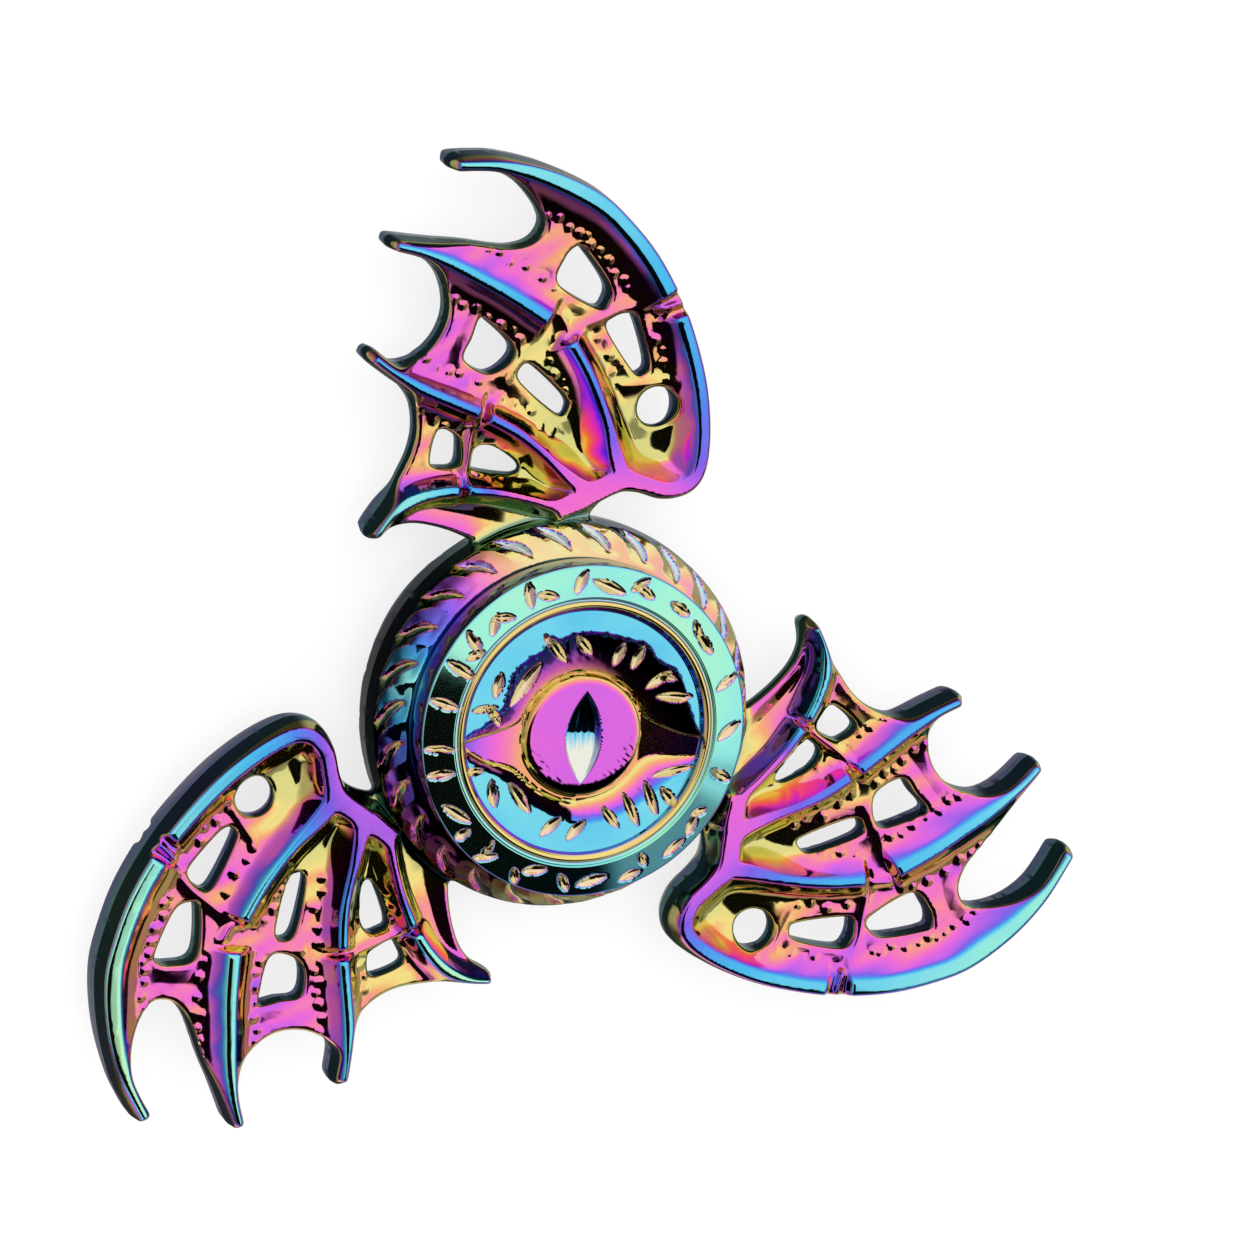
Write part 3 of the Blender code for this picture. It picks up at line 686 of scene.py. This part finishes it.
def cap_surface(x, y):
    """Height of the cap's face, its place on the film scale, and its painted light: pale painted highlight above 0,
    black painted shade below.
    """
    r = np.hypot(x, y)
    z = np.full(x.shape, FLOOR_Z)
    film = 0.06 + 0.02 * ripple(x, y, 6.0, 2)
    painted_light = np.zeros(x.shape)

    rough = 0.05 * ripple(x, y, 0.55, 7)
    opening = signed(spline(UPPER_LID + LOWER_LID, 0.2, closed=True), x, y)
    outline = signed(spline(LID_OUTLINE, 0.25, closed=True), x, y) + rough
    from_edge = np.maximum(opening, 0)
    to_outline = np.maximum(-outline, 0)
    across = from_edge / np.maximum(from_edge + to_outline, 1e-6)
    upper = smoothstep(-1.3, -0.8, y)
    inner = -0.2 + 0.37 * upper
    rise = 0.3 * across + 0.7 * across ** (2.8 - 1.2 * smoothstep(0.5, 3.0, x))
    brow = inner + (BROW - inner) * rise
    brow = brow * smoothstep(0.0, 0.14, to_outline)
    west = smoothstep(0.8, -1.4, x)
    rising = np.sin(0.5 * math.pi * np.clip(across / (0.9 - 0.72 * west), 0, 1))
    under = inner + (LOWER_RIDGE * west - inner) * rising
    under = under * (1 - west * smoothstep(0.15, 1.0, across))
    lid = under + (brow - under) * upper
    on_lid = (outline < 0) & (opening > -0.02)
    z = np.where(on_lid, FLOOR_Z + lid, z)
    dark_side = 0.87 - 0.72 * across ** 0.8
    film = np.where(on_lid, np.where(upper > 0.5, dark_side, 0.95 - 0.85 * across ** 1.2), film)
    # painted shade on the upper lid, darker outward and towards the east
    painted_light = np.where(on_lid & (upper > 0.5), -np.clip(0.3 + 0.7 * across + 0.06 * x, 0, 0.93), painted_light)

    ex, ey, er = EYE
    ball = np.hypot(x - ex, y - ey) / er
    side = np.clip((np.abs(x) - 3.7) / 3.7, 0, 1)
    white = FLOOR_Z + np.where(x < ex, -0.02, -0.3) * (1 - side)
    toward = (0.15 * (x - ex) - 0.99 * (y - ey)) / er
    low = smoothstep(0.0, 0.8, toward)
    dome = EYE_TOP - (EYE_FALL + 18 * low) * np.maximum(ball - EYE_FLAT + 0.02 * low, 0) ** 2
    dome = dome + 0.006 * ripple(x, y, 0.36, 11) * smoothstep(0.62, 0.85, ball) * smoothstep(-0.1, 0.4, toward)
    in_opening = smoothstep(0.08, -0.04, opening)
    z = z + in_opening * (white - z)
    film = np.where(opening <= 0, 0.80 - 0.42 * side, film)
    z = z + smoothstep(1.0, 0.966, ball) * (dome - z)
    # a dark crescent painted on the dome's lower rim: painted shade
    painted_dark_crescent = smoothstep(0.0, 0.02, ball + 0.015 * ripple(x, y, 0.3, 13) - 1.13 + 0.5 * toward)
    film = np.where(ball < 1, 0.54 + 0.30 * smoothstep(0.83, 0.97, ball), film)
    painted_light = np.where(ball < 0.985, -painted_dark_crescent, painted_light)

    px, py, tall, wide = PUPIL
    room = 1 - ((y - py) / tall) ** 2 - np.abs(x - px) / wide
    valley = tall - np.hypot(y - py - 0.15, 0.12) + 0.02 * ripple(3 * x, 0.3 * y, 0.9, 12)
    z = z - PUPIL_SLOPE * valley * smoothstep(0, 0.16, room)
    # the pupil is painted black at the top and pale at the bottom, in streaks: painted shade and painted highlight
    streaks = 0.9 * (py + 0.15 - y) + 0.35 * ripple(3 * x, 0.3 * y, 0.8, 14) + 0.05
    painted_light = np.where(room > -0.02, smoothstep(-0.02, 0.05, room) * np.clip(streaks, -0.9, 0.95), painted_light)
    film = np.where(room > 0, 0.1, film)

    bead_r, bead_half = BEAD
    wall = smoothstep(FLOOR_R - 0.16, FLOOR_R + 0.06, r)
    z = z + wall * (CAP_TOP - 0.17 - z)
    bead = np.sqrt(np.clip(bead_half ** 2 - (r - bead_r) ** 2, 0, None))
    z = np.where(np.abs(r - bead_r) < bead_half, CAP_TOP - 0.2 + bead * 0.9, z)
    film = np.where(r > FLOOR_R - 0.1, 0.05, film)
    film = np.where(np.abs(r - bead_r) < bead_half + 0.03, 0.88, film)
    rim_z = CAP_TOP - 0.02 - RIM_FALL * np.maximum(r - RIM_IN, 0)
    step = smoothstep(RIM_IN - 0.12, RIM_IN, r)
    z = np.where(r > bead_r + bead_half, CAP_TOP - 0.17 + step * (rim_z - CAP_TOP + 0.17), z)
    film = np.where(r > bead_r + bead_half + 0.03, -0.04 + 0.04 * ripple(x, y, 14.0, 3), film)

    for stroke in STROKES:
        near = np.hypot(x - stroke[0], y - stroke[1]) < stroke[3]
        if near.any():
            cut, mark = lens_cut(x[near], y[near], stroke)
            clear = smoothstep(bead_half, bead_half + 0.1, np.abs(r[near] - bead_r))
            z[near] -= cut * clear
            mark = mark * clear
            film[near] += (0.83 - film[near]) * mark
            # the strokes are painted paler, towards the pale highlight colour: painted highlight
            painted_light[near] += (0.45 - painted_light[near]) * mark
    return z, film, painted_light


def cap_rings():
    """Radii of the face's rings: fine on the eye and the bead, to the start of the rim's fillet."""
    fine = np.linspace(0.08, 7.34, 92)
    bead = np.linspace(7.38, 8.44, 26)
    rim = np.linspace(8.5, CAP_R - CAP_FILLET, 18)
    return np.concatenate([fine, bead, rim])


def make_cap(name, post):
    """A finger cap: its face as a polar grid, then its rim, underside and post as turned rings."""
    around = 600
    angles = np.arange(around) * math.tau / around
    c, s = np.cos(angles), np.sin(angles)
    radii = cap_rings()
    x = radii[:, None] * c
    y = radii[:, None] * s
    z, film, painted_light = cap_surface(x, y)
    z0, film0, painted_light0 = cap_surface(np.zeros(1), np.zeros(1))
    edge = CAP_TOP - 0.02 - RIM_FALL * (CAP_R - CAP_FILLET - RIM_IN)
    fillet = [(CAP_R - CAP_FILLET + CAP_FILLET * math.sin(a), edge - CAP_FILLET + CAP_FILLET * math.cos(a))
              for a in np.radians([22, 36, 50, 64, 78, 90])]
    turned = fillet + [(CAP_R, 3.75), (CAP_R - 0.05, 3.6), (CAP_R - 0.2, 3.43), (CAP_R - 0.4, 3.4)]
    turned += [(3.9, 3.4), (3.9, 2.5), (3.82, 2.42)] + post
    points = [np.array([[0, 0, z0[0]]])]
    points.append(np.stack([x.ravel(), y.ravel(), z.ravel()], axis=1))
    films = [film0, film.ravel()]
    painted_lights = [painted_light0, painted_light.ravel()]
    # the rim's side, the underside and the post take the dark wall tone: painted shade
    for r, h in turned:
        points.append(np.stack([r * c, r * s, np.full(around, h)], axis=1))
        on_side = smoothstep(edge - 0.06, edge - 0.14, h)
        films.append(np.full(around, 1.34 * on_side))
        painted_lights.append(np.zeros(around))
    # the post's end takes the same painted shade
    points.append(np.array([[0, 0, turned[-1][1]]]))
    films.append(np.array([1.3]))
    painted_lights.append(np.array([0.0]))
    points = np.concatenate(points)
    rows = len(radii) + len(turned)
    first = 1 + np.arange(rows)[:, None] * around + np.arange(around)
    faces = []
    after = np.roll(np.arange(around), -1)
    for k in range(rows - 1):
        faces.append(np.stack([first[k], first[k + 1], first[k + 1][after], first[k][after]], axis=1))
    quads = np.concatenate(faces)
    mesh = bpy.data.meshes.new(name)
    low, last = first[0], first[-1]
    tip = len(points) - 1
    fans = [(0, int(a), int(b)) for a, b in zip(low, low[after])]
    fans += [(tip, int(b), int(a)) for a, b in zip(last, last[after])]
    mesh.from_pydata([Vector(p) * MM for p in points], [], [tuple(map(int, q)) for q in quads] + fans)
    mesh.update()
    mesh.shade_smooth()
    mesh.set_sharp_from_angle(angle=math.radians(50))
    set_value(mesh, "film", np.concatenate(films))
    # painted highlights above 0 and painted shade below, read by the material
    set_value(mesh, "painted_light", np.concatenate(painted_lights))
    return add_object(name, mesh)


def make_caps():
    socket = [(3.1, 2.42), (3.1, POST_END + 0.15), (2.95, POST_END), (2.0, POST_END), (1.85, POST_END + 0.15),
              (1.85, 2.0)]
    front = make_cap("finger_cap_front", socket)
    stud_end = -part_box("cap_rear")[1].z / MM
    stud = [(1.75, 2.42), (1.75, stud_end + 0.25), (1.5, stud_end)]
    rear = make_cap("finger_cap_rear", stud)
    rear.data.transform(Matrix.Rotation(math.pi, 4, "Y"))
    return front, rear


# ================================================================ materials
class Nodes:
    """Short hand for building the node tree of a material or of the world."""

    def __init__(self, owner):
        owner.use_nodes = True
        self.tree = owner.node_tree
        self.shader = self.tree.nodes.get("Principled BSDF")

    def add(self, kind, **values):
        node = self.tree.nodes.new(kind)
        for name, value in values.items():
            setattr(node, name, value)
        return node

    def link(self, output, target):
        self.tree.links.new(output, target)

    def math(self, operation, a, b=None, c=None):
        node = self.add("ShaderNodeMath", operation=operation)
        for slot, value in zip(node.inputs, (a, b, c)):
            if value is None:
                continue
            if isinstance(value, (int, float)):
                slot.default_value = value
            else:
                self.link(value, slot)
        return node.outputs[0]

    def disc(self, x, y, middle, radius, soft):
        """1 inside a circle of directions, 0 outside it."""
        dx = self.math("SUBTRACT", x, middle[0])
        dy = self.math("SUBTRACT", y, middle[1])
        off = self.math("SQRT", self.math("ADD", self.math("MULTIPLY", dx, dx), self.math("MULTIPLY", dy, dy)))
        return self.ramp(off, radius - soft, radius + soft, 1.0, 0.0)

    def ramp(self, value, low, high, start, end):
        """A smooth step from start to end while value runs from low to high."""
        step = self.add("ShaderNodeMapRange", interpolation_type="SMOOTHSTEP")
        for slot, number in zip(("From Min", "From Max", "To Min", "To Max"), (low, high, start, end)):
            step.inputs[slot].default_value = number
        self.link(value, step.inputs["Value"])
        return step.outputs[0]

    def mixed(self, share, colour, other):
        """A colour with this share of a fixed one mixed in."""
        node = self.add("ShaderNodeMixRGB")
        node.inputs[2].default_value = other
        self.link(share, node.inputs[0])
        self.link(colour, node.inputs[1])
        return node.outputs[0]


def film_ramp(nodes, value):
    """The interference colours along the film scale."""
    low, high = FILM_SPAN
    share = nodes.math("DIVIDE", nodes.math("SUBTRACT", value, low), high - low)
    ramp = nodes.add("ShaderNodeValToRGB")
    ramp.color_ramp.interpolation = "LINEAR"
    stops = ramp.color_ramp.elements
    while len(stops) < len(FILM_COLOURS):
        stops.new(0.5)
    for stop, (place, colour) in zip(stops, FILM_COLOURS):
        stop.position = (place - low) / (high - low)
        stop.color = (*(c ** 2.2 for c in colour), 1)
    nodes.link(share, ramp.inputs[0])
    return ramp.outputs[0]


def iridescent_metal(name, roughness):
    material = bpy.data.materials.new(name)
    nodes = Nodes(material)
    film = nodes.add("ShaderNodeAttribute", attribute_name="film").outputs["Fac"]
    # painted light: painted highlights above 0, painted shade below 0
    painted_light = nodes.add("ShaderNodeAttribute", attribute_name="painted_light").outputs["Fac"]
    where = nodes.add("ShaderNodeTexCoord").outputs["Object"]
    cloud = nodes.add("ShaderNodeTexNoise")
    cloud.inputs["Scale"].default_value = 260
    cloud.inputs["Detail"].default_value = 3
    nodes.link(where, cloud.inputs["Vector"])
    drift = nodes.math("MULTIPLY", nodes.math("SUBTRACT", cloud.outputs["Fac"], 0.5), 0.10)
    facing = nodes.add("ShaderNodeLayerWeight")
    facing.inputs["Blend"].default_value = 0.5
    tilt = nodes.math("MAXIMUM", nodes.math("SUBTRACT", facing.outputs["Facing"], 0.1), 0.0)
    thin = nodes.math("LESS_THAN", film, 1.1)
    shift = nodes.math("MULTIPLY", nodes.math("MULTIPLY", tilt, thin), 0.85)
    place = nodes.math("ADD", nodes.math("ADD", film, drift), shift)
    place = nodes.math("MINIMUM", place, nodes.math("MULTIPLY_ADD", thin, -1.0, 2.04))
    # above 0 a pale painted highlight colour is mixed in, below 0 black painted shade
    colour = nodes.mixed(painted_light, film_ramp(nodes, place), (0.86, 0.84, 0.72, 1))
    colour = nodes.mixed(nodes.math("MULTIPLY", painted_light, -1.0), colour, (0.0, 0.0, 0.0, 1))
    nodes.link(colour, nodes.shader.inputs["Base Color"])
    nodes.shader.inputs["Metallic"].default_value = 1.0
    fine = nodes.add("ShaderNodeTexNoise")
    fine.inputs["Scale"].default_value = 2200
    fine.inputs["Detail"].default_value = 4
    nodes.link(where, fine.inputs["Vector"])
    rough = nodes.math("MULTIPLY_ADD", fine.outputs["Fac"], 0.04, roughness)
    nodes.link(rough, nodes.shader.inputs["Roughness"])
    return material


def steel(name, colour, roughness, scale):
    """Ground bearing steel: fine turned lines that run round the spin axis."""
    material = bpy.data.materials.new(name)
    nodes = Nodes(material)
    where = nodes.add("ShaderNodeTexCoord").outputs["Object"]
    split = nodes.add("ShaderNodeSeparateXYZ")
    nodes.link(where, split.inputs[0])
    x, y, z = split.outputs
    radius = nodes.math("SQRT", nodes.math("ADD", nodes.math("MULTIPLY", x, x), nodes.math("MULTIPLY", y, y)))
    lines = nodes.add("ShaderNodeTexNoise", noise_dimensions="2D")
    lines.inputs["Scale"].default_value = scale
    joined = nodes.add("ShaderNodeCombineXYZ")
    nodes.link(radius, joined.inputs[0])
    nodes.link(z, joined.inputs[1])
    nodes.link(joined.outputs[0], lines.inputs["Vector"])
    tone = nodes.add("ShaderNodeMixRGB")
    tone.inputs[1].default_value = (*[0.75 * c for c in colour], 1)
    tone.inputs[2].default_value = (*colour, 1)
    nodes.link(lines.outputs["Fac"], tone.inputs[0])
    nodes.link(tone.outputs[0], nodes.shader.inputs["Base Color"])
    nodes.shader.inputs["Metallic"].default_value = 1.0
    nodes.link(nodes.math("MULTIPLY_ADD", lines.outputs["Fac"], 0.12, roughness), nodes.shader.inputs["Roughness"])
    return material


# ================================================================ the studio
CAMERA = (-246.76, 164.61, 677.28)
CAMERA_TURN = (-13.994, -19.347, 4.520)
LENS = 351.5


def environment():
    """A white room for the eye, and for reflections a broad soft box overhead with a dark surround."""
    world = bpy.data.worlds.new("studio")
    bpy.context.scene.world = world
    nodes = Nodes(world)
    nodes.tree.nodes.clear()
    out = nodes.add("ShaderNodeOutputWorld")
    where = nodes.add("ShaderNodeTexCoord").outputs["Generated"]
    split = nodes.add("ShaderNodeSeparateXYZ")
    nodes.link(where, split.inputs[0])
    x, y, z = split.outputs
    sky = nodes.disc(x, y, (-0.1, 0.2), 1.05, 0.06)
    west = nodes.ramp(x, -0.9, -0.3, 0.45, 1.0)
    card = nodes.disc(x, y, (-0.15, -0.62), 0.58, 0.03)
    grey_card = nodes.disc(x, y, (0.57, -0.53), 0.18, 0.03)
    slim_card = nodes.disc(x, y, (0.70, -0.33), 0.06, 0.01)
    for shade, share in ((card, 1.0), (grey_card, 0.66), (slim_card, 0.9)):
        sky = nodes.math("MULTIPLY", sky, nodes.math("SUBTRACT", 1.0, nodes.math("MULTIPLY", shade, share)))
    sky = nodes.math("MULTIPLY", nodes.math("MULTIPLY", sky, west), nodes.ramp(z, -0.16, 0.03, 0.0, 1.0))
    east = nodes.math("MULTIPLY", nodes.ramp(x, 0.2, 0.55, 0.0, 0.38), nodes.ramp(z, 0.4, 0.55, 1.0, 0.0))
    low_west = nodes.math("MULTIPLY", nodes.ramp(x, -0.85, -0.5, 0.36, 0.0), nodes.ramp(z, -0.75, -0.5, 0.0, 1.0))
    low_west = nodes.math("MULTIPLY", low_west, nodes.ramp(z, -0.1, 0.05, 1.0, 0.0))
    south_west = nodes.math("MULTIPLY", nodes.ramp(x, -0.45, -0.3, 0.55, 0.0), nodes.ramp(y, -0.8, -0.65, 1.0, 0.0))
    south_west = nodes.math("MULTIPLY", south_west, nodes.ramp(z, 0.25, 0.4, 1.0, 0.0))
    south = nodes.math("MULTIPLY", nodes.ramp(y, -0.9, -0.65, 0.38, 0.0), nodes.ramp(z, 0.3, 0.5, 1.0, 0.0))
    deep_south = nodes.math("MULTIPLY", nodes.ramp(y, -0.85, -0.7, 0.5, 0.0), nodes.ramp(x, 0.2, 0.35, 1.0, 0.0))
    for low, high, start, end in ((-0.25, -0.15, 1.0, 0.0), (-0.7, -0.5, 0.0, 1.0)):
        deep_south = nodes.math("MULTIPLY", deep_south, nodes.ramp(z, low, high, start, end))
    below = nodes.math("ADD", nodes.ramp(z, -0.95, -0.90, 0.24, 0.0), nodes.ramp(z, -0.05, 0.05, 0.05, 0.0))
    level = nodes.math("MAXIMUM", nodes.math("MULTIPLY_ADD", sky, 1.02, 0.002), east)
    for glow in (below, low_west, south_west, south, deep_south):
        level = nodes.math("ADD", level, glow)
    shown = nodes.add("ShaderNodeBackground")
    shown.inputs["Color"].default_value = (1, 1, 1, 1)
    nodes.link(level, shown.inputs["Strength"])
    plain = nodes.add("ShaderNodeBackground")
    plain.inputs["Color"].default_value = (1, 1, 1, 1)
    plain.inputs["Strength"].default_value = 0.9
    path = nodes.add("ShaderNodeLightPath")
    mix = nodes.add("ShaderNodeMixShader")
    nodes.link(path.outputs["Is Glossy Ray"], mix.inputs[0])
    nodes.link(plain.outputs[0], mix.inputs[1])
    nodes.link(shown.outputs[0], mix.inputs[2])
    nodes.link(mix.outputs[0], out.inputs[0])


def floor_plane():
    mesh = bpy.data.meshes.new("floor")
    half = 3.0
    level = -CAP_TOP * MM
    mesh.from_pydata([(-half, -half, level), (half, -half, level), (half, half, level), (-half, half, level)],
                     [], [(0, 1, 2, 3)])
    floor = add_object("floor", mesh)
    material = bpy.data.materials.new("pale_floor")
    nodes = Nodes(material)
    nodes.shader.inputs["Base Color"].default_value = (0.3, 0.3, 0.3, 1)
    nodes.shader.inputs["Roughness"].default_value = 0.9
    nodes.shader.inputs["Specular IOR Level"].default_value = 0.0
    nodes.shader.inputs["Emission Color"].default_value = (1, 1, 1, 1)
    nodes.shader.inputs["Emission Strength"].default_value = 0.72
    mesh.materials.append(material)
    floor.visible_glossy = False


def lamp():
    """One large soft lamp that draws a faint contact shadow."""
    light = bpy.data.lights.new("soft_lamp", "AREA")
    light.energy = 2.2
    light.size = 0.5
    obj = bpy.data.objects.new("soft_lamp", light)
    obj.location = (-0.15, 0.2, 0.6)
    obj.rotation_euler = (Vector((0, 0, 0)) - obj.location).to_track_quat("-Z", "Y").to_euler()
    obj.visible_glossy = False
    bpy.context.scene.collection.objects.link(obj)


def camera():
    """A long lens, 66 degrees above the floor, from the left and a little behind."""
    data = bpy.data.cameras.new("camera")
    data.sensor_width = 36
    data.lens = LENS
    data.clip_end = 20
    obj = bpy.data.objects.new("camera", data)
    obj.location = Vector(CAMERA) * MM
    obj.rotation_euler = [math.radians(a) for a in CAMERA_TURN]
    bpy.context.scene.collection.objects.link(obj)
    bpy.context.scene.camera = obj


def main():
    rainbow = iridescent_metal("rainbow_zinc", 0.05)
    rotor = make_rotor()
    rotor.data.materials.append(rainbow)
    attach(rotor, "rotor")
    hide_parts("wing_frame")
    for cap, node in zip(make_caps(), ("cap_front", "cap_rear")):
        cap.data.materials.append(rainbow)
        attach(cap, "hub")
        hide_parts(node)
    bearing = steel("bearing_steel", (0.66, 0.67, 0.70), 0.14, 4000)
    cage = steel("cage_steel", (0.45, 0.45, 0.47), 0.3, 2500)
    for name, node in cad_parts.items():
        if name not in ("wing_frame", "cap_front", "cap_rear"):
            node.data.materials.clear()
            node.data.materials.append(cage if name == "ball_cage" else bearing)
    environment()
    floor_plane()
    lamp()
    camera()
    bpy.context.scene.view_settings.view_transform = "Standard"


main()
